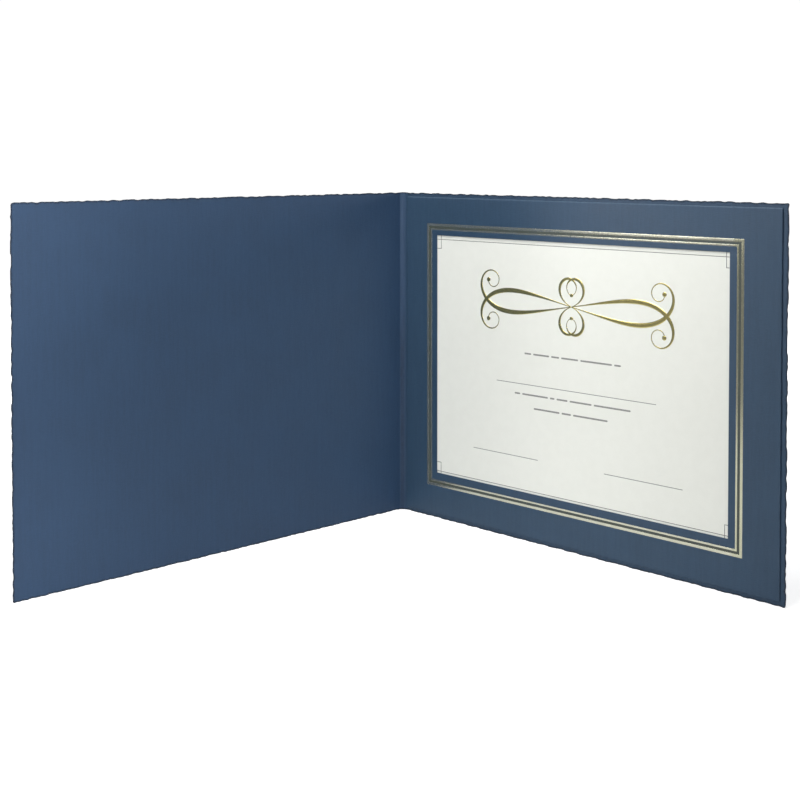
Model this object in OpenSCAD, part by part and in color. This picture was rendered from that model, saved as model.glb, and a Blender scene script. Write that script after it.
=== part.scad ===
// Folding holder for one landscape certificate or photograph.
// A scored card cover stands open like a book. A second card with a window is
// glued inside the back cover on three sides, and the sheet slides into the
// pocket from above.
// Millimetres, +Z up. The back cover lies in the XZ plane and its inside faces
// -Y. The origin is the centre of the footprint, on the surface it stands on.

/* [Cover] */
// Width of each cover panel, from its crease to its outer edge
panel_w = 304.8; // [280:0.1:340]
// Height of the cover
panel_h = 241.3; // [220:0.1:280]
// Thickness of the cover card
card_t = 0.5; // [0.4:0.05:0.8]
// Width of the spine strip between the two creases
spine_w = 3.6; // [3.2:0.1:6]
// Angle between the two covers as it stands
open_angle = 97.6; // [70:0.2:140]
// Clear space between a panel's end and the rounded edge of the spine strip
crease_gap = 0.3; // [0.2:0.05:0.4]

/* [Window card] */
// Distance from the crease to the window card's near edge
frame_near = 3.4; // [2:0.1:5]
// Distance from the window card's far edge to the cover's outer edge
frame_far = 3.6; // [2:0.1:5]
// Distance from the window card to the cover's top and bottom edges
frame_inset = 3; // [2:0.1:5]
// Thickness of the window card
frame_t = 0.45; // [0.3:0.05:0.6]
// Window opening: near side, measured from the crease
window_near = 33; // [30:0.1:36]
// Window opening: width
window_w = 234.4; // [228:0.1:238]
// Window opening: lower side, measured from the bottom
window_low = 34.1; // [32:0.1:36]
// Window opening: height
window_h = 176.1; // [170:0.1:178]

/* [Foil border] */
// Near side of the outer line's centre, measured from the crease
foil_near = 24.3; // [22:0.1:26]
// Width of the outer line's centre rectangle
foil_w = 251.7; // [248:0.1:254]
// Lower side of the outer line's centre, measured from the bottom
foil_low = 25; // [23:0.1:26]
// Height of the outer line's centre rectangle
foil_h = 192.8; // [189:0.1:195]
// Width of the outer line
foil_outer_line = 1.8; // [1:0.1:2.2]
// Width of the inner line
foil_inner_line = 1.2; // [0.6:0.1:1.6]
// Distance between the centres of the two lines
foil_step = 3.2; // [2.6:0.1:3.6]
// Thickness of the foil
foil_t = 0.03; // [0.02:0.01:0.05]

/* [Pocket] */
// Thickness of the glue lines, which is the depth of the pocket
glue_t = 0.5; // [0.4:0.05:0.7]
// Width of the two upright glue lines
glue_w = 5.8; // [4:0.1:6]
// Height of the lower glue line
glue_h = 8.6; // [6:0.1:9]
// Sideways play of the sheet in the pocket, each side
sheet_play = 0.7; // [0.5:0.1:1]

/* [Certificate] */
// Width of the sheet
sheet_w = 279.4; // [279.4:0.1:279.4]
// Height of the sheet
sheet_h = 215.9; // [215.9:0.1:215.9]
// Thickness of the sheet
sheet_t = 0.2; // [0.1:0.05:0.2]
// Distance from the crease to the sheet's near edge
sheet_near = 11.1; // [11:0.1:11.4]
// Distance from the bottom of the cover to the sheet's lower edge
sheet_low = 13.5; // [13.2:0.1:14]
// Thickness of the ink and the foil on the sheet
ink_t = 0.03; // [0.02:0.01:0.05]
// Width of the printed hairlines
hairline = 0.4; // [0.3:0.05:0.8]
// Half the side of the small squares on the corners of the border
corner_half = 6.7; // [5:0.1:8]

/* [Hidden] */
$fn = 64;

card_blue = [0.21, 0.29, 0.40];
spine_blue = [0.24, 0.32, 0.43];
glue_clear = [0.85, 0.84, 0.78];
gold = [0.80, 0.66, 0.36];
sheet_white = [0.90, 0.91, 0.88];
ink_grey = [0.35, 0.36, 0.34];

half = card_t / 2;
// each crease shares the bend equally
fold = (180 - open_angle) / 2;
// a panel ends this far from its crease's axis
end_at = half + crease_gap;
// the front crease, seen from the rear crease
front_x = -spine_w * cos(fold);
front_y = -spine_w * sin(fold);
// the front cover's outer edge, on its middle plane
tip_x = front_x - panel_w * cos(2 * fold);
tip_y = front_y - panel_w * sin(2 * fold);
// the footprint's limits, to put its centre at the origin
low_x = min(tip_x - half * sin(2 * fold), front_x - half, -half);
low_y = min(tip_y - half * abs(cos(2 * fold)), front_y - half);
mid_x = (low_x + panel_w) / 2;
mid_y = (low_y + half) / 2;

// heights above the back cover's middle plane, towards the reader
glue_at = half;
frame_at = glue_at + glue_t;
foil_at = frame_at + frame_t;
sheet_at = half + (glue_t - sheet_t - ink_t) / 2 + 0.02;
ink_at = sheet_at + sheet_t;

// the hairline border's rectangle on the sheet, as [near, low, width, height]
border = [sheet_near + 18.8, sheet_low + 22.1, 241.8, 171.7];

// A flat sheet on the back cover: u runs from the crease to the outer edge,
// v runs up, h is the height above the middle plane
module sheet_on_back(h, t) {
  translate([-mid_x, -mid_y, 0])
    translate([0, -h, 0]) rotate([90, 0, 0]) linear_extrude(height = t) children();
}

module at_rear_crease() translate([-mid_x, -mid_y, 0]) children();

module ring(x, y, w, h, line) {
  difference() {
    translate([x - line / 2, y - line / 2]) square([w + line, h + line]);
    translate([x + line / 2, y + line / 2]) square([w - line, h - line]);
  }
}

// ---- cover ----
module front_cover() color(card_blue)
  at_rear_crease() translate([front_x, front_y, 0]) rotate([0, 0, 2 * fold])
    translate([-panel_w, -half, 0]) cube([panel_w - end_at, card_t, panel_h]);

module spine_strip() color(spine_blue)
  at_rear_crease() rotate([0, 0, fold]) union() {
    translate([-spine_w, -half, 0]) cube([spine_w, card_t, panel_h]);
    cylinder(h = panel_h, r = half);
    translate([-spine_w, 0, 0]) cylinder(h = panel_h, r = half);
  }

module back_cover() color(card_blue)
  at_rear_crease() translate([end_at, -half, 0]) cube([panel_w - end_at, card_t, panel_h]);

// ---- window card and its glue ----
module window_frame() color(card_blue)
  sheet_on_back(frame_at, frame_t) difference() {
    translate([frame_near, frame_inset])
      square([panel_w - frame_near - frame_far, panel_h - 2 * frame_inset]);
    translate([window_near, window_low]) square([window_w, window_h]);
  }

module glue_upright(u) color(glue_clear)
  sheet_on_back(glue_at, glue_t)
    translate([u, frame_inset + 1]) square([glue_w, panel_h - 2 * frame_inset - 2]);

module glue_line_spine_side() glue_upright(sheet_near - sheet_play - glue_w);
module glue_line_fore_edge() glue_upright(sheet_near + sheet_w + sheet_play);

module glue_line_bottom() color(glue_clear)
  sheet_on_back(glue_at, glue_t)
    translate([sheet_near, sheet_low - 0.1 - glue_h]) square([sheet_w, glue_h]);

// ---- stamped foil ----
module foil_outer_border() color(gold)
  sheet_on_back(foil_at, foil_t)
    ring(foil_near, foil_low, foil_w, foil_h, foil_outer_line);

module foil_inner_border() color(gold)
  sheet_on_back(foil_at, foil_t)
    ring(foil_near + foil_step, foil_low + foil_step,
         foil_w - 2 * foil_step, foil_h - 2 * foil_step, foil_inner_line);

// ---- sheet ----
module certificate_sheet() color(sheet_white)
  sheet_on_back(sheet_at, sheet_t)
    translate([sheet_near, sheet_low]) square([sheet_w, sheet_h]);

module printed() sheet_on_back(ink_at, ink_t) children();

module certificate_border() color(ink_grey) printed() union() {
  ring(border[0], border[1], border[2], border[3], hairline);
  for (x = [0, border[2]], y = [0, border[3]])
    ring(border[0] + x - corner_half, border[1] + y - corner_half,
         2 * corner_half, 2 * corner_half, hairline);
}

// The title is a penman's flourish, the same in all four quarters: a long
// swelling arm that ends in a curl with a round drop, and a small inner curl.
// An arm's heading grows with the distance walked along it.
// share of the arm's length walked after step i of n, in shorter steps near the end
function walked(i, n) = sin(90 * i / n);
// arm = [length, steps, first heading, turn, turn's power, half width, swell, swell's pace]
function heading(arm, s) = arm[2] + arm[3] * pow(s, arm[4]);
function swell(arm, s) = arm[5] + arm[6] * pow(sin(180 * min(1, s * arm[7])), 2);
function spine_of(arm) = let (n = arm[1]) [
  for (i = 0, p = [0, 0]; i <= n;
       p = i < n ? p + arm[0] * (walked(i + 1, n) - walked(i, n)) *
         [cos(heading(arm, (walked(i, n) + walked(i + 1, n)) / 2)),
          sin(heading(arm, (walked(i, n) + walked(i + 1, n)) / 2))] : p,
       i = i + 1)
    p
];
function edge_point(arm, line, i, k) =
  let (s = walked(i, arm[1]), a = heading(arm, s))
  line[i] + k * swell(arm, s) * [-sin(a), cos(a)];

// the arm's outline, one side, then round its drop, then back on the other side
module arm_shape(arm, drop) {
  line = spine_of(arm);
  n = arm[1];
  a = heading(arm, 1);
  t = asin(swell(arm, 1) / drop);
  // the last step that is still clear of the drop
  k = max([for (i = [0 : n]) if (arm[0] * (1 - walked(i, n)) > drop * 1.1) i]);
  polygon(concat([for (i = [0 : k]) edge_point(arm, line, i, 1)],
                 [for (j = [0 : 16]) line[n] + drop * [cos(a + 180 - t - j * (360 - 2 * t) / 16),
                                                       sin(a + 180 - t - j * (360 - 2 * t) / 16)]],
                 [for (i = [k : -1 : 0]) edge_point(arm, line, i, -1)]));
}

long_arm = [127.5, 56, -11, 470, 4, 0.32, 1.3, 1.12];
inner_arm = [44, 28, 22, 318, 1.5, 0.26, 0.8, 1.05];
title_u = 151.6;
title_v = 167;

module title_quarter() {
  arm_shape(long_arm, 1.6);
  arm_shape(inner_arm, 1.1);
}

module title_half() { title_quarter(); mirror([0, 1]) title_quarter(); }

module title_flourish() color(gold) printed() translate([title_u, title_v]) union() {
  title_half();
  mirror([1, 0]) title_half();
}

// A line of small print stands as a row of plain strokes, one for each word
module words(u, v, lengths, gap = 1.9, tall = 1.3) {
  for (i = [0 : len(lengths) - 1])
    translate([u + upto(lengths, i) + i * gap, v]) square([lengths[i], tall]);
}
function upto(a, n) = n == 0 ? 0 : a[n - 1] + upto(a, n - 1);

module dedication_line() color(ink_grey) printed()
  words(112.6, 130.9, [5.6, 13.2, 6.4, 13.6, 24.6, 5]);
module citation_line_upper() color(ink_grey) printed()
  words(104.3, 102.3, [4.6, 21.6, 3.6, 8.8, 17.4, 28.2]);
module citation_line_lower() color(ink_grey) printed()
  words(120.7, 93.2, [21.4, 7.4, 27.2]);

module rule(u, v, w) color(ink_grey) printed() translate([u, v - hairline / 2]) square([w, hairline]);
module name_rule() rule(88.3, 109.8, 128.4);
module signature_rule_left() rule(67.3, 58.4, 56.8);
module signature_rule_right() rule(177.8, 58.4, 58.2);

front_cover();
spine_strip();
back_cover();
window_frame();
glue_line_spine_side();
glue_line_fore_edge();
glue_line_bottom();
foil_outer_border();
foil_inner_border();
certificate_sheet();
certificate_border();
title_flourish();
dedication_line();
name_rule();
citation_line_upper();
citation_line_lower();
signature_rule_left();
signature_rule_right();
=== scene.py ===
import math

import bmesh
import bpy
import numpy as np
from mathutils import Matrix, Vector, noise


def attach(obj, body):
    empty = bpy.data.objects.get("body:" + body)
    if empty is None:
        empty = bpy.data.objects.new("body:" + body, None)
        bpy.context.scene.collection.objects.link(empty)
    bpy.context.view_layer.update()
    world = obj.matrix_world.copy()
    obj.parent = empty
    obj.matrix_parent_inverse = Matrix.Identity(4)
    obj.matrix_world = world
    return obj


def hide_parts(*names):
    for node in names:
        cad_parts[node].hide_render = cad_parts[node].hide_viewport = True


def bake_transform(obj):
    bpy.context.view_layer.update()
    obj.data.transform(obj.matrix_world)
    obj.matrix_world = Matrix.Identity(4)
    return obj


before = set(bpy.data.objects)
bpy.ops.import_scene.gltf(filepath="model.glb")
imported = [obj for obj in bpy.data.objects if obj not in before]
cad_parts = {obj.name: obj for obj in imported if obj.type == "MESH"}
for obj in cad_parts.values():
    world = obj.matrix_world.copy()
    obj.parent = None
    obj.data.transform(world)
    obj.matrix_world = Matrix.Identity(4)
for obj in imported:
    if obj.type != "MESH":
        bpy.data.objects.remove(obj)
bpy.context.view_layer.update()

# ---------------------------------------------------------------- sizes, in mm
# The same numbers as in the CAD source. u runs along the back cover from the
# rear crease, v runs up, h is the height above the cover's middle plane
# towards the reader. s runs along the whole cover through both creases.
REAR = (-130.7658773, 152.1384214)
PANEL, HIGH, HALF, SPINE = 304.8, 241.3, 0.25, 3.6
FOLD = math.radians(41.2)
REAR_ARC, FRONT_ARC = 2.60, 0.60
CARD = (3.4, 301.2, 3.0, 238.3)
WINDOW = (33.0, 267.4, 34.1, 210.2)
CARD_BACK, CARD_FRONT = 0.75, 1.20
FOIL_OUT, FOIL_OUT_HALF = (24.3, 276.0, 25.0, 217.8), 0.9
FOIL_IN, FOIL_IN_HALF = (27.5, 272.8, 28.2, 214.6), 0.6
SHEET = (11.1, 290.5, 13.5, 229.4)
SHEET_BACK, SHEET_FRONT = 0.405, 0.605
BORDER = (29.9, 271.7, 35.6, 207.3)


def ripple(x, y=0.0, seed=0.0):
    """Smooth noise from -1 to 1, the same each run."""
    return noise.noise(Vector((x, y, 7.31 + 3.17 * seed)))


def wobble(t, seed, deep):
    """How far a cut edge is worn back at t mm along it, from 0 to deep."""
    a = 0.35 * ripple(t / 12.0, 0, seed) + 0.9 * ripple(t / 4.3, 2.0, seed) + 0.45 * ripple(t / 2.6, 5.0, seed)
    return deep * min(1.0, max(0.0, 0.45 + 1.5 * a))


# ---------------------------------------------------------------- mesh helpers
def grown(rect, by):
    return (rect[0] - by, rect[1] + by, rect[2] - by, rect[3] + by)


def between(a, b, t):
    return tuple(x + (y - x) * t for x, y in zip(a, b))


def on_back(u, v, h):
    """Row-frame position in metres of a point on the back cover."""
    return ((REAR[0] + u) / 1000, (REAR[1] - h) / 1000, v / 1000)


def make(name, verts, faces, uv=None, marks=None, smooth=True):
    """An object from points in metres. uv holds one pair per vertex in metres, marks holds named values per vertex."""
    mesh = bpy.data.meshes.new(name)
    mesh.from_pydata([tuple(p) for p in verts], [], [tuple(f) for f in faces])
    mesh.validate()
    bm = bmesh.new()
    bm.from_mesh(mesh)
    bmesh.ops.recalc_face_normals(bm, faces=bm.faces)
    bm.to_mesh(mesh)
    bm.free()
    if uv is not None:
        layer = mesh.uv_layers.new(name="flat_mm")
        flat = np.asarray(uv, np.float32)
        loops = np.zeros(len(mesh.loops), np.int32)
        mesh.loops.foreach_get("vertex_index", loops)
        layer.uv.foreach_set("vector", flat[loops].ravel())
    for key, values in (marks or {}).items():
        a = mesh.attributes.new(key, "FLOAT", "POINT")
        a.data.foreach_set("value", np.asarray(values, np.float32))
    mesh.polygons.foreach_set("use_smooth", [smooth] * len(mesh.polygons))
    mesh.update()
    o = bpy.data.objects.new(name, mesh)
    bpy.context.scene.collection.objects.link(o)
    return o


# ---------------------------------------------------------------- the cover
def along(s):
    """(x, y), (nx, ny): the cover's middle line in plan at s and its normal towards the reader, from the rear crease in mm."""
    def bend(d, arc):
        r = arc / math.tan(FOLD / 2)
        t = FOLD * (arc - d) / (2 * arc)
        return arc - r * math.sin(t), -r + r * math.cos(t), math.sin(t), -math.cos(t)

    if s >= REAR_ARC:
        return (s, 0.0), (0.0, -1.0)
    if s > -REAR_ARC:
        x, y, nx, ny = bend(s, REAR_ARC)
        return (x, y), (nx, ny)
    c, q = math.cos(FOLD), math.sin(FOLD)
    if s >= -SPINE + FRONT_ARC:
        return (s * c, s * q), (q, -c)
    fx, fy = -SPINE * c, -SPINE * q
    d = s + SPINE
    if d > -FRONT_ARC:
        lx, ly, nx, ny = bend(d, FRONT_ARC)
    else:
        lx, ly, nx, ny = d * c, d * q, q, -c
    return (fx + lx * c - ly * q, fy + lx * q + ly * c), (nx * c - ny * q, nx * q + ny * c)


def stations():
    """Distances from the middle of the spine strip to the outer edge, close together at the crease and the edge."""
    near = [0.0, 0.2, 0.35] + [0.35 + 0.145 * i for i in range(1, 21)] + [3.5, 4.0, 4.8, 6.0, 7.6]
    edge = PANEL + SPINE / 2
    far = [edge - x for x in (8, 6, 4.4, 3.2, 2.3, 1.7, 1.4, 1.1, 0.85, 0.6, 0.35, 0.22, 0.12, 0.04, 0.0)]
    middle = list(np.linspace(near[-1], far[0], 212)[1:-1])
    return near + middle + far


def rows():
    low = [0.12, 0.35, 0.7, 1.2, 1.9, 2.8, 4.0]
    return low + list(np.linspace(4.0, HIGH - 4.0, 150)[1:-1]) + [HIGH - x for x in reversed(low)]


def cover_half(name, front):
    """One half of the scored cover: half the spine strip, a crease and a panel, as one closed sheet of card."""
    sign = -1 if front else 1
    seed = 20 if front else 10
    edge = PANEL + SPINE / 2
    vs = rows()
    verts, uv, rim, fold = [], [], [], []
    rings = []
    for d in stations():
        from_edge = edge - d
        round_ = 1.3
        c = round_ - math.sqrt(max(0.0, round_**2 - (round_ - from_edge) ** 2)) if from_edge < round_ else 0.0
        thin = 0.6 if from_edge < 0.01 else 0.88 if from_edge < 0.05 else 1.0
        ease = min(1.0, d / 6.0)
        top = HIGH - c - ease * wobble(d, seed + 1, 0.55)
        low = c + ease * wobble(d, seed + 2, 0.45)
        ring = []

        def put(v, h, on_rim):
            v_rel = v / HIGH
            pull = wobble(v, seed + 3, 0.55) * max(0.0, 1 - from_edge / 5.0)
            if front:
                pull += 0.12 * (d / edge) ** 5 * (v / HIGH) ** 4
            dd = d - pull
            s = -SPINE / 2 + sign * dd
            p, n = along(s)
            panel = max(0.0, dd - SPINE / 2)
            x = panel / PANEL
            bow = 0.0
            if front:
                settle = min(1.0, panel / 40) ** 2
                bow = settle * (0.45 * math.sin(math.pi * min(1, x)) * (0.6 + 0.4 * math.sin(math.pi * v_rel)) + 0.6 * x**5 * v_rel**4
                                + 0.05 * (1 + ripple(panel / 70, v / 60, 4)))
            bead = (0.035 if front else 0.02) * math.exp(-((dd - SPINE / 2) / 0.55) ** 2)
            hh = h * thin + bow + bead * (1.0 if h > 0 else 0.8)
            ring.append(len(verts))
            verts.append(((REAR[0] + p[0] + n[0] * hh) / 1000, (REAR[1] + p[1] + n[1] * hh) / 1000, v / 1000))
            uv.append((s / 1000, v / 1000 + (0 if h > -0.2 else 0.4)))
            rim.append(min(3.0, max(0.0, from_edge - 0.0), max(0.0, v - low), max(0.0, top - v)) if not on_rim else 0.0)
            fold.append(min(4.0, abs(dd - SPINE / 2)))

        scaled = [low + (v / HIGH) * (top - low) for v in vs]
        for v in scaled:
            put(v, HALF, False)
        for v, h in ((top - 0.04, 0.22), (top, 0.15), (top, -0.15), (top - 0.04, -0.22)):
            put(v, h, True)
        for v in reversed(scaled):
            put(v, -HALF, False)
        for v, h in ((low + 0.04, -0.22), (low, -0.15), (low, 0.15), (low + 0.04, 0.22)):
            put(v, h, True)
        rings.append(ring)
    faces = []
    n = len(rings[0])
    for a, b in zip(rings, rings[1:]):
        for i in range(n):
            j = (i + 1) % n
            faces.append((a[i], a[j], b[j], b[i]))
    m = len(vs)
    for ring in (rings[0], rings[-1]):
        inside, top4, outside, low4 = ring[:m], ring[m:m + 4], ring[m + 4:2 * m + 4][::-1], ring[2 * m + 4:]
        for i in range(m - 1):
            faces.append((inside[i], inside[i + 1], outside[i + 1], outside[i]))
        faces.append((inside[-1], *top4, outside[-1]))
        faces.append((outside[0], *low4, inside[0]))
    return make(name, verts, faces, uv, {"rim": rim, "fold": fold})


# ---------------------------------------------------------------- loops round the window
NX, NY, NC = 150, 118, 6


def loop_points(rect, r, wear=0.0, seed=0, keep_square=True):
    """Points round a rectangle with corners of radius r, always in the same number and order."""
    x0, x1, y0, y1 = rect
    pts = []
    sides = (((x0 + r, y0), (x1 - r, y0), NX, (0, 1)), ((x1, y0 + r), (x1, y1 - r), NY, (-1, 0)),
             ((x1 - r, y1), (x0 + r, y1), NX, (0, -1)), ((x0, y1 - r), (x0, y0 + r), NY, (1, 0)))
    centres = ((x1 - r, y0 + r), (x1 - r, y1 - r), (x0 + r, y1 - r), (x0 + r, y0 + r))
    for k, (a, b, n, inward) in enumerate(sides):
        for i in range(n + 1):
            t = i / n
            # points crowd towards the corners
            t = t + 0.12 * math.sin(2 * math.pi * t) * -1 / (2 * math.pi) * 4
            t = min(1.0, max(0.0, t))
            x, y = a[0] + (b[0] - a[0]) * t, a[1] + (b[1] - a[1]) * t
            w = wobble((x if k % 2 == 0 else y), seed + k, wear) * min(1, 6 * t, 6 * (1 - t)) if wear else 0.0
            pts.append((x + inward[0] * w, y + inward[1] * w))
        cx, cy = centres[k]
        start = -90 + 90 * k
        for i in range(1, NC):
            a_ = math.radians(start + 90 * i / NC)
            pts.append((cx + r * math.cos(a_), cy + r * math.sin(a_)))
    return pts


def ring_solid(name, section, bulge=None, marks=None):
    """A closed frame from a list of (rect, corner radius, height, wear, seed) loops that go round its section."""
    verts, uv, faces = [], [], []
    marks = marks or {}
    values = {key: [] for key in marks}
    for rect, r, h, wear, seed in section:
        for x, y in loop_points(rect, r, wear, seed):
            hh = h + (bulge(x, y) if bulge else 0.0)
            verts.append(on_back(x, y, hh))
            uv.append((x / 1000, y / 1000 + (0.0 if h > 0.9 else 0.4)))
            for key, f in marks.items():
                values[key].append(f(x, y, h))
    n = len(verts) // len(section)
    for k in range(len(section)):
        a, b = k * n, ((k + 1) % len(section)) * n
        for i in range(n):
            j = (i + 1) % n
            faces.append((a + i, a + j, b + j, b + i))
    return make(name, verts, faces, uv, values)


def card_bulge(u, v):
    """The window card springs a little proud towards its open top edge, most in the middle of its width."""
    side = max(0.0, math.sin(math.pi * min(1, max(0, (u - 12) / 277.0))))
    return 0.34 * side**0.7 * (max(0.0, v - 150) / 88.3) ** 2.2


def card_rim(u, v, h):
    """Distance to the nearest cut edge of the window card, up to 3 mm."""
    out = min(u - CARD[0], CARD[1] - u, v - CARD[2], CARD[3] - v)
    dx = max(WINDOW[0] - u, u - WINDOW[1], 0)
    dy = max(WINDOW[2] - v, v - WINDOW[3], 0)
    return min(3.0, max(0.0, out), math.hypot(dx, dy))


def stamped(u, v, h):
    """1 in the narrow band between the two foil lines, where the card is tinted olive."""
    if h < 0.9:
        return 0.0
    a, b = grown(FOIL_OUT, -FOIL_OUT_HALF + 0.25), grown(FOIL_IN, FOIL_IN_HALF - 0.25)
    within = a[0] <= u <= a[1] and a[2] <= v <= a[3]
    beyond = not (b[0] < u < b[1] and b[2] < v < b[3])
    return 1.0 if within and beyond else 0.0


GROOVE = 0.045


def window_card():
    o, w, front, back = CARD, WINDOW, CARD_FRONT, CARD_BACK
    f1o, f1i = grown(FOIL_OUT, FOIL_OUT_HALF), grown(FOIL_OUT, -FOIL_OUT_HALF)
    f2o, f2i = grown(FOIL_IN, FOIL_IN_HALF), grown(FOIL_IN, -FOIL_IN_HALF)
    s = []
    add = lambda rect, r, h, wear=0.0: s.append((rect, r, h, wear, 40))
    add(grown(o, -0.08), 1.0, back, 0.16)
    add(o, 1.0, back + 0.06, 0.24)
    for inset, drop, wear in ((0, 0.27, 0.24), (0.05, 0.19, 0.22), (0.13, 0.115, 0.2), (0.26, 0.058, 0.16), (0.45, 0.022, 0.1), (0.72, 0.005, 0.04)):
        a = grown(o, -inset)
        add((o[0] + inset * 0.35, *a[1:]), 1.0 if inset < 0.3 else 0.9, front - drop, wear)
    a, b = grown(o, -1.1), grown(f1o, 0.9)
    for i in range(6):
        add(between(a, b, i / 5), 0.7 - 0.1 * i, front)
    for rect, side in ((f1o, 1), (f1i, -1), (f2o, 1), (f2i, -1)):
        steps = ((0.34, 0.0), (0.2, -0.004), (0.09, -0.022), (0.0, -GROOVE + 0.006), (-0.1, -GROOVE))
        for off, h in (steps if side > 0 else steps[::-1]):
            add(grown(rect, side * off), 0.16 if abs(off) < 0.3 else 0.22, front + h)
    add(grown(w, 1.0), 0.25, front)
    add(grown(w, 0.42), 0.2, front)
    add(grown(w, 0.16), 0.2, front, -0.0)
    add(grown(w, 0.05), 0.2, front - 0.04)
    add(w, 0.2, front - 0.12)
    add(w, 0.2, back + 0.05)
    add(grown(w, 0.06), 0.2, back)
    for i in range(1, 5):
        add(between(grown(w, 1.0), grown(o, -1.0), i / 5), 0.4, back)
    return ring_solid("window_card", s, card_bulge, {"rim": card_rim, "stamp": stamped})


def foil_line(name, rect, half, seed):
    """A stamped foil line: a thin strip with a soft crown, sunk into its groove in the window card."""
    top = CARD_FRONT - GROOVE + 0.03
    s = []
    for off, h in ((half + 0.02, top - 0.040), (half + 0.03, top - 0.016), (half - 0.03, top - 0.006), (half - 0.16, top),
                   (half * 0.33, top + 0.003), (-half * 0.33, top + 0.003), (-half + 0.16, top), (-half + 0.03, top - 0.006),
                   (-half - 0.03, top - 0.016), (-half - 0.02, top - 0.040)):
        s.append((grown(rect, off), 0.12 if off > 0 else 0.06, h, 0.0, seed))
    return ring_solid(name, s, card_bulge)


# ---------------------------------------------------------------- the sheet and its print
def sheet_wave(u, v):
    """The sheet stands slightly proud in the middle of the window, and lies flat under the window card."""
    x = (u - WINDOW[0]) / (WINDOW[1] - WINDOW[0])
    y = (v - WINDOW[2]) / (WINDOW[3] - WINDOW[2])
    if not (0 < x < 1 and 0 < y < 1):
        return 0.0
    calm = (math.sin(math.pi * x) * math.sin(math.pi * y)) ** 1.3
    return calm * (0.16 + 0.07 * math.sin(2 * math.pi * (1.3 * x + 0.4 * y) + 0.7))


def grid_sheet(name, rect, back, front, step, wave):
    """A closed thin sheet with rounded cut edges."""
    x0, x1, y0, y1 = rect
    e = [0.0, 0.03, 0.09, 0.4, 1.5]
    xs = [x0 + d for d in e] + list(np.arange(x0 + 4, x1 - 3, step)) + [x1 - d for d in reversed(e)]
    ys = [y0 + d for d in e] + list(np.arange(y0 + 4, y1 - 3, step)) + [y1 - d for d in reversed(e)]
    mid, half = (back + front) / 2, (front - back) / 2
    verts, uv, faces, index = [], [], [], {}
    for side in (1, -1):
        for i, x in enumerate(xs):
            for j, y in enumerate(ys):
                d = min(x - x0, x1 - x, y - y0, y1 - y)
                f = 0.55 if d < 0.01 else 0.85 if d < 0.05 else 1.0
                verts.append(on_back(x, y, mid + side * half * f + wave(x, y)))
                uv.append((x / 1000, y / 1000 + (0 if side > 0 else 0.4)))
                index[side, i, j] = len(verts) - 1
    a, b = len(xs), len(ys)
    for side in (1, -1):
        for i in range(a - 1):
            for j in range(b - 1):
                faces.append((index[side, i, j], index[side, i + 1, j], index[side, i + 1, j + 1], index[side, i, j + 1]))
    edge = [(i, 0) for i in range(a)] + [(a - 1, j) for j in range(1, b)] + [(i, b - 1) for i in range(a - 2, -1, -1)] + [(0, j) for j in range(b - 2, 0, -1)]
    for k, (i, j) in enumerate(edge):
        m, n = edge[(k + 1) % len(edge)]
        faces.append((index[1, i, j], index[1, m, n], index[-1, m, n], index[-1, i, j]))
    return make(name, verts, faces, uv)


class Print:
    """Gathers printed strokes that lie on the waved sheet into one mesh."""

    def __init__(self, name):
        self.name, self.verts, self.faces, self.uv, self.marks = name, [], [], [], []
        self.level = 0

    def stroke(self, left, right, thick, crown=0.0, ends=True):
        """A closed ribbon between two rows of points, with a low crown."""
        self.level = (self.level + 1) % 5
        lift = 0.0008 * self.level
        n = len(left)
        base = len(self.verts)
        for (lx, ly), (rx, ry) in zip(left, right):
            for t, h in ((0.0, -0.004), (0.0, thick * 0.55), (0.22, thick), (0.5, thick + crown), (0.78, thick), (1.0, thick * 0.55), (1.0, -0.004)):
                x, y = lx + (rx - lx) * t, ly + (ry - ly) * t
                self.verts.append(on_back(x, y, SHEET_FRONT + sheet_wave(x, y) + h + (lift if h > 0 else 0)))
                self.uv.append((x / 1000, y / 1000))
                self.marks.append(t)
        for i in range(n - 1):
            a, b = base + 7 * i, base + 7 * (i + 1)
            for k in range(7):
                m = (k + 1) % 7
                self.faces.append((a + k, a + m, b + m, b + k))
        self.faces.append(tuple(base + k for k in range(7)))
        self.faces.append(tuple(base + 7 * (n - 1) + k for k in range(7)))

    def bar(self, x0, x1, y, tall, thick=0.022, round_=None, step=3.0):
        """A level bar with rounded ends."""
        r = tall / 2 if round_ is None else round_
        xs, hs = [], []
        for i in range(5):
            a = math.radians(90 * i / 4)
            xs.append(x0 + r - r * math.cos(a))
            hs.append(tall / 2 - r + r * math.sin(a))
        n = max(1, int((x1 - x0 - 2 * r) / step))
        for i in range(1, n):
            xs.append(x0 + r + (x1 - x0 - 2 * r) * i / n)
            hs.append(tall / 2)
        for i in range(5):
            a = math.radians(90 - 90 * i / 4)
            xs.append(x1 - r + r * math.cos(a))
            hs.append(tall / 2 - r + r * math.sin(a))
        hs = [max(h, 0.02) for h in hs]
        self.stroke([(x, y + h) for x, h in zip(xs, hs)], [(x, y - h) for x, h in zip(xs, hs)], thick)

    def upright(self, x, y0, y1, wide, thick=0.022, step=3.0):
        n = max(2, int((y1 - y0) / step))
        ys = [y0 + (y1 - y0) * i / n for i in range(n + 1)]
        self.stroke([(x - wide / 2, y) for y in ys], [(x + wide / 2, y) for y in ys], thick)

    def level_line(self, x0, x1, y, wide, thick=0.022, step=3.0):
        n = max(2, int((x1 - x0) / step))
        xs = [x0 + (x1 - x0) * i / n for i in range(n + 1)]
        self.stroke([(x, y + wide / 2) for x in xs], [(x, y - wide / 2) for x in xs], thick)

    def done(self):
        return make(self.name, self.verts, self.faces, self.uv, {"across": self.marks})


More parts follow.
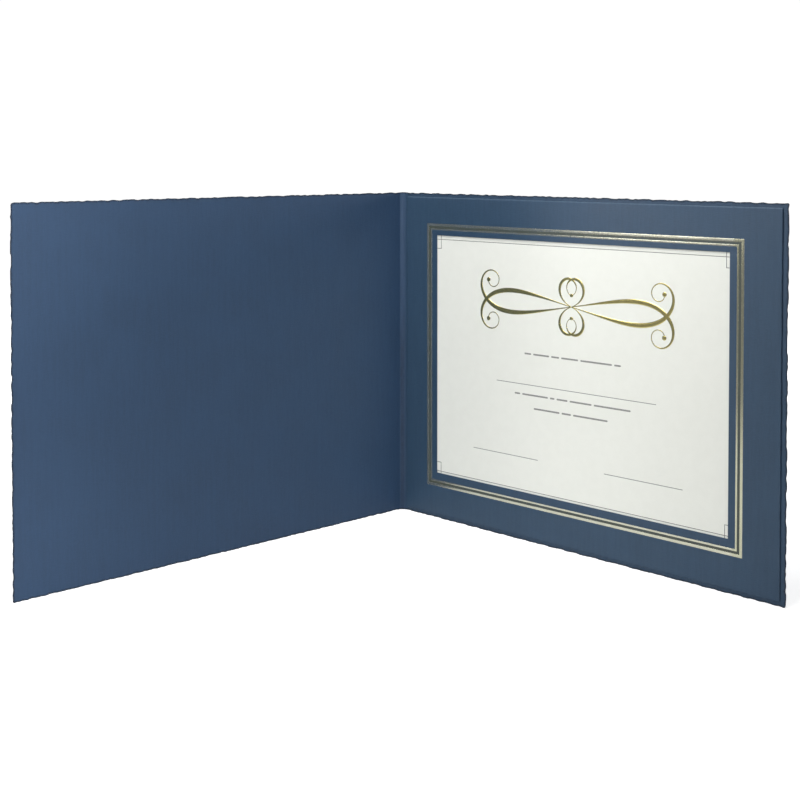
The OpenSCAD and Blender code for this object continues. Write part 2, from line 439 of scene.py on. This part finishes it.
def sheet_border():
    p = Print("sheet_border_print")
    x0, x1, y0, y1 = BORDER
    w, c = 0.4, 6.7
    for y in (y0, y1):
        p.level_line(x0 - w / 2, x1 + w / 2, y, w)
    for x in (x0, x1):
        p.upright(x, y0 - w / 2, y1 + w / 2, w)
    for x in (x0, x1):
        for y in (y0, y1):
            for d in (-c, c):
                p.level_line(x - c - w / 2, x + c + w / 2, y + d, w)
                p.upright(x + d, y - c - w / 2, y + c + w / 2, w)
    return p.done()


def words(name, u, v, lengths, gap=1.9, tall=1.15):
    p = Print(name)
    x = u
    for length in lengths:
        p.bar(x, x + length, v + tall / 2, tall, round_=0.42)
        x += length + gap
    return p.done()


def rule(name, u, v, length):
    p = Print(name)
    p.level_line(u, u + length, v, 0.4)
    return p.done()


def flourish():
    """The title: the same penman's flourish as in the CAD, in finer steps and with a rounded crown."""
    p = Print("title_flourish_foil")
    cx, cy = 151.6, 167.0
    arms = (((127.5, 190, -11, 470, 4, 0.32, 1.3, 1.12), 1.6), ((44, 90, 22, 318, 1.5, 0.26, 0.8, 1.05), 1.1))
    for arm, drop in arms:
        length, n, first, turn, power, w0, w1, pace = arm
        walked = [math.sin(math.pi / 2 * i / n) for i in range(n + 1)]
        line = [(0.0, 0.0)]
        for i in range(n):
            a = math.radians(first + turn * ((walked[i] + walked[i + 1]) / 2) ** power)
            d = length * (walked[i + 1] - walked[i])
            line.append((line[-1][0] + d * math.cos(a), line[-1][1] + d * math.sin(a)))
        left, right = [], []
        for i, (x, y) in enumerate(line):
            s = walked[i]
            if length * (1 - s) < drop * 0.5:
                break
            a = math.radians(first + turn * s**power)
            w = w0 + w1 * math.sin(math.pi * min(1, s * pace)) ** 2
            left.append((x - w * math.sin(a), y + w * math.cos(a)))
            right.append((x + w * math.sin(a), y - w * math.cos(a)))
        ex, ey = line[-1]
        disc_l, disc_r = [], []
        for i in range(15):
            t = math.radians(180 * i / 14)
            x, h = -drop * math.cos(t), max(0.03, drop * math.sin(t))
            disc_l.append((ex + x, ey + h))
            disc_r.append((ex + x, ey - h))
        for mx in (1, -1):
            for my in (1, -1):
                p.stroke([(cx + mx * x, cy + my * y) for x, y in left], [(cx + mx * x, cy + my * y) for x, y in right], 0.022, 0.006)
                p.stroke([(cx + mx * x, cy + my * y) for x, y in disc_l], [(cx + mx * x, cy + my * y) for x, y in disc_r], 0.022, 0.006)
    return p.done()


# ---------------------------------------------------------------- materials
class Look:
    """A material built from nodes, in few words."""

    def __init__(self, name):
        self.mat = bpy.data.materials.new(name)
        self.mat.use_nodes = True
        self.nt = self.mat.node_tree
        self.nt.nodes.clear()
        self.out = self.nt.nodes.new("ShaderNodeOutputMaterial")
        self.bsdf = self.nt.nodes.new("ShaderNodeBsdfPrincipled")
        self.nt.links.new(self.bsdf.outputs[0], self.out.inputs[0])

    def put(self, socket, value):
        if hasattr(value, "is_output") or isinstance(value, bpy.types.NodeSocket):
            self.nt.links.new(value, socket)
        else:
            socket.default_value = value

    def node(self, kind, ins=None, out=0, **props):
        n = self.nt.nodes.new(kind)
        for k, v in props.items():
            setattr(n, k, v)
        for k, v in (ins or {}).items():
            self.put(n.inputs[k], v)
        return n.outputs[out]

    def math(self, op, a, b=0.0, c=0.0, clamp=False):
        n = self.nt.nodes.new("ShaderNodeMath")
        n.operation, n.use_clamp = op, clamp
        for i, x in enumerate((a, b, c)):
            self.put(n.inputs[i], x)
        return n.outputs[0]

    def scaled(self, vec, sx, sy, sz=1.0):
        n = self.nt.nodes.new("ShaderNodeVectorMath")
        n.operation = "MULTIPLY"
        self.put(n.inputs[0], vec)
        n.inputs[1].default_value = (sx, sy, sz)
        return n.outputs[0]

    def noise(self, vec, scale=1.0, detail=2.0, rough=0.5, dims="2D"):
        return self.node("ShaderNodeTexNoise", {"Vector": vec, "Scale": scale, "Detail": detail, "Roughness": rough}, noise_dimensions=dims)

    def ramp(self, value, lo, hi, to_lo=0.0, to_hi=1.0, smooth=True):
        n = self.nt.nodes.new("ShaderNodeMapRange")
        n.interpolation_type = "SMOOTHSTEP" if smooth else "LINEAR"
        for i, x in enumerate((value, lo, hi, to_lo, to_hi)):
            self.put(n.inputs[i], x)
        return n.outputs[0]

    def mix(self, t, a, b):
        n = self.nt.nodes.new("ShaderNodeMix")
        n.data_type = "RGBA"
        self.put(n.inputs[0], t)
        for i, x in ((6, a), (7, b)):
            self.put(n.inputs[i], (*x, 1.0) if isinstance(x, tuple) and len(x) == 3 else x)
        return n.outputs[2]

    def attr(self, name):
        n = self.nt.nodes.new("ShaderNodeAttribute")
        n.attribute_name = name
        return n.outputs["Fac"]

    def flat(self):
        """The piece's own flat coordinates in metres, which stay with the card when it bends."""
        return self.node("ShaderNodeUVMap", uv_map="flat_mm")

    def bump(self, height, distance, strength=1.0, normal=None):
        ins = {"Strength": strength, "Distance": distance, "Height": height}
        if normal is not None:
            ins["Normal"] = normal
        return self.node("ShaderNodeBump", ins)

    def set(self, **values):
        for k, v in values.items():
            self.put(self.bsdf.inputs[k.replace("_", " ")], (*v, 1.0) if isinstance(v, tuple) and len(v) == 3 else v)
        return self.mat


COVER_BLUE = (0.0208, 0.0492, 0.1030)
# painted sheen: the same card blue as COVER_BLUE, made lighter and greyer, for the window card and the inside of the
# back cover
SHEEN_LIT_BLUE = (0.0296, 0.0616, 0.1085)


def linen(k, vec, pitch=0.00044):
    """Height of a fine linen grain: long uneven threads pressed both ways into the card."""
    across = k.noise(k.scaled(vec, 1 / pitch, 1 / (13 * pitch)), 1.0, 2.0, 0.55)
    up = k.noise(k.scaled(vec, 1 / (11 * pitch), 1 / pitch), 1.0, 2.0, 0.55)
    return k.math("ADD", k.ramp(across, 0.34, 0.66), k.ramp(up, 0.34, 0.66)), across, up


def card_look(name, blue, rough0, shine, blue_back=None, rough_back=0.0, edge_width=1.7, edge_dark=0.85):
    k = Look(name)
    vec = k.flat()
    grain, across, up = linen(k, vec)
    clouds = k.noise(k.scaled(vec, 28, 28), 1.0, 3.0, 0.55)
    streak = k.noise(k.scaled(vec, 420, 26), 1.0, 2.0, 0.5)
    fibre = k.noise(k.scaled(vec, 5200, 5200), 1.0, 2.0, 0.6)
    # colour: the dyed card, a shade lighter on the threads, clouded by a few per cent
    tone = k.math("ADD", k.math("MULTIPLY", k.ramp(clouds, 0.3, 0.7), 0.5), k.math("MULTIPLY", k.ramp(streak, 0.3, 0.7), 0.5))
    shade = lambda c, by: tuple(x * by for x in c)
    colour = k.mix(tone, shade(blue, 0.93), shade(blue, 1.07))
    if blue_back:
        # s, the distance along the cover, is less than 0 on the spine strip and the front cover
        s, v = k.node("ShaderNodeSeparateXYZ", {0: vec}, 0), k.node("ShaderNodeSeparateXYZ", {0: vec}, 1)
        # and the outside face lies 0.4 further up in UV, so that both halves are one blue from behind
        behind = k.math("MULTIPLY", k.ramp(s, -0.0014, 0.0030), k.ramp(v, 0.28, 0.32, 1.0, 0.0))
        # the inside of the back half takes the blue with painted sheen
        colour = k.mix(behind, colour, k.mix(tone, shade(blue_back, 0.93), shade(blue_back, 1.07)))
        # painted shade: the spine strip is made darker low down, fading out above about 160 mm, as less light reaches
        # its lower part
        strip = k.math("MULTIPLY", k.ramp(s, -0.0040, -0.0030), k.ramp(s, -0.0016, 0.0016, 1.0, 0.0))
        high = k.ramp(v, 0.09, 0.235)
        colour = k.mix(k.math("MULTIPLY", strip, k.ramp(high, 0.0, 0.5, 0.38, 0.0)), colour, (0.004, 0.009, 0.02))
        # painted highlight: the top of the spine strip is made a little paler, as light from above catches it
        spine_top_highlight = k.math("MULTIPLY", k.math("MULTIPLY", k.ramp(s, -0.0036, -0.0026), k.ramp(s, -0.0022, 0.0006, 1.0, 0.0)), high)
        spine_top_highlight = k.math("MULTIPLY", spine_top_highlight, k.ramp(streak, 0.3, 0.7, 0.13, 0.19))
        colour = k.mix(spine_top_highlight, colour, (0.095, 0.150, 0.230))
    colour = k.mix(k.math("MULTIPLY", k.ramp(grain, 0.4, 1.7), 0.16), colour, tuple(c * 1.45 for c in blue))
    colour = k.mix(k.math("MULTIPLY", k.ramp(fibre, 0.62, 0.8), 0.12), colour, (0.10, 0.15, 0.22))
    # the cut edges are darker within edge_width of the edge, unevenly, with a loose paler fibre here and there
    ragged = k.noise(k.scaled(vec, 520, 520), 1.0, 3.0, 0.6)
    worn = k.math("SUBTRACT", 1.0, k.ramp(k.math("ADD", k.attr("rim"), k.ramp(ragged, 0.3, 0.7, -0.25, 0.35)), 0.15, edge_width))
    colour = k.mix(k.math("MULTIPLY", worn, edge_dark), colour, (0.006, 0.012, 0.024))
    loose = k.math("MULTIPLY", k.math("SUBTRACT", 1.0, k.ramp(k.attr("rim"), 0.0, 0.4)), k.ramp(k.noise(k.scaled(vec, 1400, 1400), 1.0, 3.0, 0.6), 0.62, 0.8))
    colour = k.mix(k.math("MULTIPLY", loose, 0.5), colour, (0.085, 0.135, 0.205))
    if not blue_back:
        # the narrow band between the foil lines is tinted olive
        band = k.math("MULTIPLY", k.attr("stamp"), k.math("ADD", 0.55, k.math("MULTIPLY", k.ramp(clouds, 0.3, 0.7), 0.15)))
        colour = k.mix(band, colour, (0.078, 0.080, 0.038))
        # painted highlight: the open top edge of the pocket is made a little paler, as light from above catches it
        v = k.node("ShaderNodeSeparateXYZ", {0: vec}, 1)
        top_edge_highlight = k.math("MULTIPLY", k.ramp(v, 0.2372, 0.2378), k.ramp(streak, 0.25, 0.75, 0.25, 0.45))
        colour = k.mix(top_edge_highlight, colour, (0.100, 0.160, 0.235))
    if blue_back:
        crack = k.math("SUBTRACT", 1.0, k.ramp(k.attr("fold"), 0.05, 0.55))
        crack = k.math("MULTIPLY", crack, k.ramp(k.noise(k.scaled(vec, 1500, 160), 1.0, 3.0, 0.6), 0.3, 0.75))
        colour = k.mix(k.math("MULTIPLY", crack, 0.15), colour, (0.075, 0.12, 0.185))
    base = k.math("ADD", rough0, k.math("MULTIPLY", behind, rough_back - rough0)) if blue_back else rough0
    rough = k.math("ADD", base, k.math("MULTIPLY", k.ramp(clouds, 0.25, 0.75), 0.05))
    rough = k.math("ADD", rough, k.math("MULTIPLY", k.ramp(grain, 0.3, 1.7), -0.05))
    rough = k.math("ADD", rough, k.math("MULTIPLY", worn, 0.15))
    normal = k.bump(grain, 0.000020, 0.9)
    normal = k.bump(fibre, 0.000006, 0.6, normal)
    return k.set(Base_Color=colour, Roughness=rough, Normal=normal, Specular_IOR_Level=shine, IOR=1.5)


def foil_look(name, tint, rough0, grain_depth, uneven=False):
    k = Look(name)
    vec = k.flat()
    grain, across, up = linen(k, vec)
    patch = k.noise(k.scaled(vec, 95, 95), 1.0, 3.0, 0.55)
    speck = k.noise(k.scaled(vec, 3800, 3800), 1.0, 2.0, 0.6)
    deep = tuple(c * x for c, x in zip(tint, (0.80, 0.74, 0.62)))
    colour = k.mix(k.math("MULTIPLY", k.ramp(patch, 0.3, 0.7), 0.30), tint, deep)
    colour = k.mix(k.math("MULTIPLY", k.ramp(speck, 0.68, 0.82), 0.25), colour, tuple(c * 0.5 for c in tint))
    if uneven:
        # painted shade: low down and along the outer edge the foil is made a shade duller, which dims what it mirrors
        # there
        u, v = k.node("ShaderNodeSeparateXYZ", {0: vec}, 0), k.node("ShaderNodeSeparateXYZ", {0: vec}, 1)
        dull = lambda *by: tuple(c * x for c, x in zip(tint, by))
        colour = k.mix(k.ramp(v, 0.025, 0.12, 0.6, 0.0), colour, dull(0.75, 0.74, 0.72))
        colour = k.mix(k.ramp(u, 0.2695, 0.2712, 0.0, 0.6), colour, dull(0.72, 0.72, 0.60))
    rough = k.math("ADD", rough0, k.math("MULTIPLY", k.ramp(patch, 0.3, 0.75), 0.03))
    rough = k.math("ADD", rough, k.math("MULTIPLY", k.ramp(speck, 0.6, 0.8), 0.06))
    normal = k.bump(grain, grain_depth, 0.8)
    return k.set(Base_Color=colour, Roughness=rough, Metallic=0.92, Normal=normal)


def paper_look(name):
    k = Look(name)
    vec = k.flat()
    felt = k.noise(k.scaled(vec, 900, 900), 1.0, 4.0, 0.6)
    cloud = k.noise(k.scaled(vec, 140, 140), 1.0, 3.0, 0.55)
    fibre = k.noise(k.scaled(vec, 3000, 500), 1.0, 2.0, 0.6)
    colour = k.mix(k.ramp(cloud, 0.3, 0.7), (0.806, 0.817, 0.758), (0.818, 0.829, 0.770))
    colour = k.mix(k.math("MULTIPLY", k.ramp(fibre, 0.6, 0.78), 0.10), colour, (0.74, 0.75, 0.70))
    rough = k.math("ADD", 0.62, k.math("MULTIPLY", k.ramp(felt, 0.3, 0.7), 0.08))
    normal = k.bump(felt, 0.000010, 0.7)
    return k.set(Base_Color=colour, Roughness=rough, Normal=normal, Specular_IOR_Level=0.35)


def ink_look(name, grey, spread):
    """Printed ink: a little uneven, and paler where the paper's fibres show through."""
    k = Look(name)
    vec = k.flat()
    grainy = k.noise(k.scaled(vec, 5200, 5200), 1.0, 2.0, 0.6)
    patch = k.noise(k.scaled(vec, 700, 700), 1.0, 2.0, 0.5)
    colour = k.mix(k.ramp(patch, 0.3, 0.7), grey, tuple(c * 1.25 + 0.01 for c in grey))
    colour = k.mix(k.math("MULTIPLY", k.ramp(grainy, 0.5, 0.75), spread), colour, (0.55, 0.56, 0.52))
    rough = k.math("ADD", 0.5, k.math("MULTIPLY", grainy, 0.15))
    return k.set(Base_Color=colour, Roughness=rough, Normal=k.bump(grainy, 0.000004, 0.5), Specular_IOR_Level=0.3)


def glue_look(name):
    k = Look(name)
    vec = k.node("ShaderNodeTexCoord", out=3)
    runs = k.noise(vec, 400.0, 3.0, 0.6, "3D")
    colour = k.mix(k.ramp(runs, 0.3, 0.7), (0.62, 0.60, 0.50), (0.78, 0.76, 0.68))
    rough = k.math("ADD", 0.3, k.math("MULTIPLY", runs, 0.2))
    return k.set(Base_Color=colour, Roughness=rough, Normal=k.bump(runs, 0.00005, 0.6))


# ---------------------------------------------------------------- build
cover_card = card_look("cover_card_linen", COVER_BLUE, 0.54, 0.32, SHEEN_LIT_BLUE, 0.42)
window_linen = card_look("window_card_linen", SHEEN_LIT_BLUE, 0.41, 0.355, edge_width=0.35, edge_dark=0.2)
# the border foil carries painted shade low down and along its outer edge
gold = foil_look("gold_foil_border", (0.785, 0.785, 0.645), 0.172, 0.0000006, uneven=True)
title_gold = foil_look("gold_foil_title", (0.72, 0.64, 0.27), 0.19, 0.0000012)
paper = paper_look("sheet_paper")
line_ink = ink_look("line_ink", (0.10, 0.105, 0.095), 0.3)
word_ink = ink_look("word_ink", (0.20, 0.205, 0.19), 0.55)
glue = glue_look("dried_glue")


def dress(obj, material):
    obj.data.materials.clear()
    obj.data.materials.append(material)
    return obj


back_half = dress(cover_half("cover_back_half", False), cover_card)
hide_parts("back_cover")
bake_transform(back_half)

front_half = dress(cover_half("cover_front_half", True), cover_card)
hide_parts("front_cover", "spine_strip")
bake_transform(front_half)

for obj, material, slot, node in (
    (window_card(), window_linen, "cover_card", "window_frame"),
    (foil_line("foil_outer_line", FOIL_OUT, FOIL_OUT_HALF, 60), gold, "gold_foil", "foil_outer_border"),
    (foil_line("foil_inner_line", FOIL_IN, FOIL_IN_HALF, 70), gold, "gold_foil", "foil_inner_border"),
):
    dress(obj, material)
    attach(obj, "back")
    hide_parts(node)

for obj, material, slot, node in (
    (grid_sheet("certificate_paper", SHEET, SHEET_BACK, SHEET_FRONT, 4.0, sheet_wave), paper, "sheet_paper", "certificate_sheet"),
    (sheet_border(), line_ink, "grey_ink", "certificate_border"),
    (flourish(), title_gold, "gold_foil", "title_flourish"),
    (words("dedication_print", 112.6, 130.9, [5.6, 13.2, 6.4, 13.6, 24.6, 5]), word_ink, "grey_ink", "dedication_line"),
    (rule("name_rule_print", 88.3, 109.8, 128.4), line_ink, "grey_ink", "name_rule"),
    (words("citation_upper_print", 104.3, 102.3, [4.6, 21.6, 3.6, 8.8, 17.4, 28.2]), word_ink, "grey_ink", "citation_line_upper"),
    (words("citation_lower_print", 120.7, 93.2, [21.4, 7.4, 27.2]), word_ink, "grey_ink", "citation_line_lower"),
    (rule("signature_rule_left_print", 67.3, 58.4, 56.8), line_ink, "grey_ink", "signature_rule_left"),
    (rule("signature_rule_right_print", 177.8, 58.4, 58.2), line_ink, "grey_ink", "signature_rule_right"),
):
    dress(obj, material)
    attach(obj, "certificate")
    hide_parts(node)

for n in ("glue_line_spine_side", "glue_line_fore_edge", "glue_line_bottom"):
    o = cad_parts[n]
    o.data.materials.clear()
    o.data.materials.append(glue)

# ---------------------------------------------------------------- floor, light, camera
scene = bpy.context.scene


def floor():
    """A pale table, far wider than the object. For camera rays it glows white, a painted glow that grows past the
    object, all the way to the backdrop.
    """
    bm = bmesh.new()
    bmesh.ops.create_circle(bm, cap_ends=True, radius=9.0, segments=96)
    mesh = bpy.data.meshes.new("floor")
    bm.to_mesh(mesh)
    bm.free()
    o = bpy.data.objects.new("floor", mesh)
    o.location = (0, 0, -0.0004)
    scene.collection.objects.link(o)
    k = Look("pale_floor")
    vec = k.node("ShaderNodeTexCoord", out=3)
    soft = k.noise(vec, 3.0, 2.0, 0.5, "3D")
    colour = k.mix(k.ramp(soft, 0.3, 0.7), (0.90, 0.90, 0.90), (0.92, 0.92, 0.92))
    # painted shade: for all but camera rays the table is made darker away from the object,
    # so what the object gets back from the table falls off away from it
    seen = k.node("ShaderNodeLightPath", out=0)
    reach = k.node("ShaderNodeVectorMath", {0: vec}, 1, operation="LENGTH")
    far = k.math("MULTIPLY", k.math("SUBTRACT", 1.0, seen), k.ramp(reach, 0.16, 0.36))
    k.set(Base_Color=k.mix(far, colour, (FLOOR_FAR_SHADE, FLOOR_FAR_SHADE, FLOOR_FAR_SHADE)), Roughness=0.9, Specular_IOR_Level=0.1)
    # painted glow: for camera rays the table glows white, from a weaker glow beside the object up to full white far off
    away = k.ramp(reach, 0.30, 0.95, FLOOR_GLOW_NEAR, 1.0)
    glow = k.node("ShaderNodeEmission", {"Color": (1, 1, 1, 1), "Strength": k.math("MULTIPLY", seen, away)})
    both = k.node("ShaderNodeAddShader", {0: k.bsdf.outputs[0], 1: glow})
    k.nt.links.new(both, k.out.inputs[0])
    mesh.materials.append(k.mat)


# the table's glow beside the object for camera rays, and its painted darker colour far off for other rays
FLOOR_GLOW_NEAR, FLOOR_FAR_SHADE = 0.62, 0.30
floor()

world = bpy.data.worlds.new("studio")
scene.world = world
world.use_nodes = True
back = world.node_tree.nodes["Background"]
back.inputs[0].default_value = (1.0, 1.0, 1.0, 1)
path = world.node_tree.nodes.new("ShaderNodeLightPath")
level = world.node_tree.nodes.new("ShaderNodeMapRange")
level.inputs[3].default_value, level.inputs[4].default_value = 0.05, 1.02
world.node_tree.links.new(path.outputs[0], level.inputs[0])
world.node_tree.links.new(level.outputs[0], back.inputs[1])
AIM_AT = (0, 0, 0.12)


def place(data, at, look_at):
    o = bpy.data.objects.new(data.name, data)
    o.location = at
    o.rotation_mode = "QUATERNION"
    o.rotation_quaternion = (Vector(look_at) - Vector(at)).to_track_quat("-Z", "Y")
    o.visible_camera = False
    scene.collection.objects.link(o)
    return o


def softbox(name, at, look_at, wide, tall, level):
    """A soft box of the given brightness, where 1 is the white of the table."""
    data = bpy.data.lights.new(name, "AREA")
    data.shape = "RECTANGLE"
    data.size, data.size_y, data.energy = wide, tall, level * math.pi * wide * tall
    return place(data, at, look_at)


def soft_spot(name, at, look_at, degrees, watts, radius=0.05):
    data = bpy.data.lights.new(name, "SPOT")
    data.energy, data.spot_size, data.spot_blend, data.shadow_soft_size = watts, math.radians(degrees), 1.0, radius
    return place(data, at, look_at)


def spare(light, *names):
    """Keep a lamp off some pieces. They mirror it far more than the card does, and the photo shows no such glare."""
    group = bpy.data.collections.new(light.name + "_off")
    for name in names:
        group.objects.link(bpy.data.objects[name])
    light.light_linking.receiver_collection = group
    for entry in group.collection_objects:
        entry.light_linking.link_state = "EXCLUDE"


# overhead
softbox("top_front", (0.0, -0.45, 0.78), (0, 0, 0.1), 0.5, 0.7, 0.58)
softbox("top_low", (0.0, -0.05, 0.55), (0, 0, 0), 0.4, 0.3, 5.8)
softbox("top_front_low", (0.0, -0.5, 0.45), AIM_AT, 0.4, 0.25, 0.6)
# the right side and behind it
softbox("right_back", (1.6, 1.2, 0.25), AIM_AT, 1.2, 0.8, 2.04)
softbox("right_back_far", (1.1, 1.8, 0.3), AIM_AT, 0.9, 0.8, 3.05)
softbox("right", (2.0, -0.3, 0.3), AIM_AT, 1.2, 0.9, 3.15)
# behind on the left, for the outside of the covers
softbox("back_left", (-0.95, 1.05, 0.42), (-0.08, 0.06, 0.12), 1.2, 0.8, 5.0)
# front and left
softbox("left_far", (-1.7, -1.0, 0.5), AIM_AT, 1.0, 0.9, 0.95)
softbox("front", (0.0, -2.0, 0.9), AIM_AT, 1.1, 0.8, 2.12)
# small fills for the edge of the front cover
softbox("edge_fill_high", (0.10, -0.42, 0.32), (-0.17, -0.15, 0.22), 0.12, 0.12, 1.03)
softbox("edge_fill_low", (0.10, -0.42, 0.04), (-0.17, -0.15, 0.05), 0.12, 0.06, 3.25)
soft_spot("edge_spot_wide_high", (1.0, -0.5, 0.5), (-0.18, -0.17, 0.24), 24, 5.0)
soft_spot("edge_spot_wide_low", (0.9, -0.6, 0.3), (-0.18, -0.17, 0.0), 24, 2.1)
soft_spot("edge_spot_high", (1.0, -0.5, 0.5), (-0.19, -0.19, 0.26), 14, 31.0)
soft_spot("edge_spot_low", (0.9, -0.6, 0.3), (-0.19, -0.19, -0.01), 14, 21.2)
soft_spot("edge_spot_middle", (1.0, -0.5, 0.4), (-0.20, -0.20, 0.12), 14, 10.5)
# the sheen on the window card
for light in (
    soft_spot("sheen_high", (-0.67, -1.1, 0.17), (0.05, 0.15, 0.25), 15, 16.5, 0.14),
    soft_spot("sheen_low", (-0.50, -0.95, 0.45), (0.03, 0.15, 0.0), 14, 4.3, 0.12),
):
    spare(light, "foil_outer_line", "foil_inner_line", "title_flourish_foil")
fill = soft_spot("spine_fill", (0.30, -1.2, 0.20), (-0.108, 0.15, 0.10), 13, 26.0, 0.2)
spare(fill, "foil_outer_line", "foil_inner_line")
# a dim panel that the top foil line mirrors
softbox("foil_panel", (-0.64, -1.1, 0.26), (0.09, 0.15, 0.22), 0.24, 0.20, 4.2)

cam_data = bpy.data.cameras.new("camera")
cam = bpy.data.objects.new("camera", cam_data)
scene.collection.objects.link(cam)
AIM, PITCH = math.radians(42.219), math.radians(1.6)
cam.location = (0.4905, -0.5381, 0.2702)
cam.rotation_mode = "QUATERNION"
ahead = Vector((-math.sin(AIM) * math.cos(PITCH), math.cos(AIM) * math.cos(PITCH), -math.sin(PITCH)))
cam.rotation_quaternion = ahead.to_track_quat("-Z", "Y")
cam_data.sensor_width = 36
cam_data.lens = 1230.10 * 36 / 800
cam_data.shift_y = -211.79 / 800
cam_data.clip_start, cam_data.clip_end = 0.05, 50
scene.camera = cam

scene.view_settings.view_transform = "Standard"
scene.view_settings.look = "None"
scene.view_settings.exposure = 0
scene.view_settings.gamma = 1
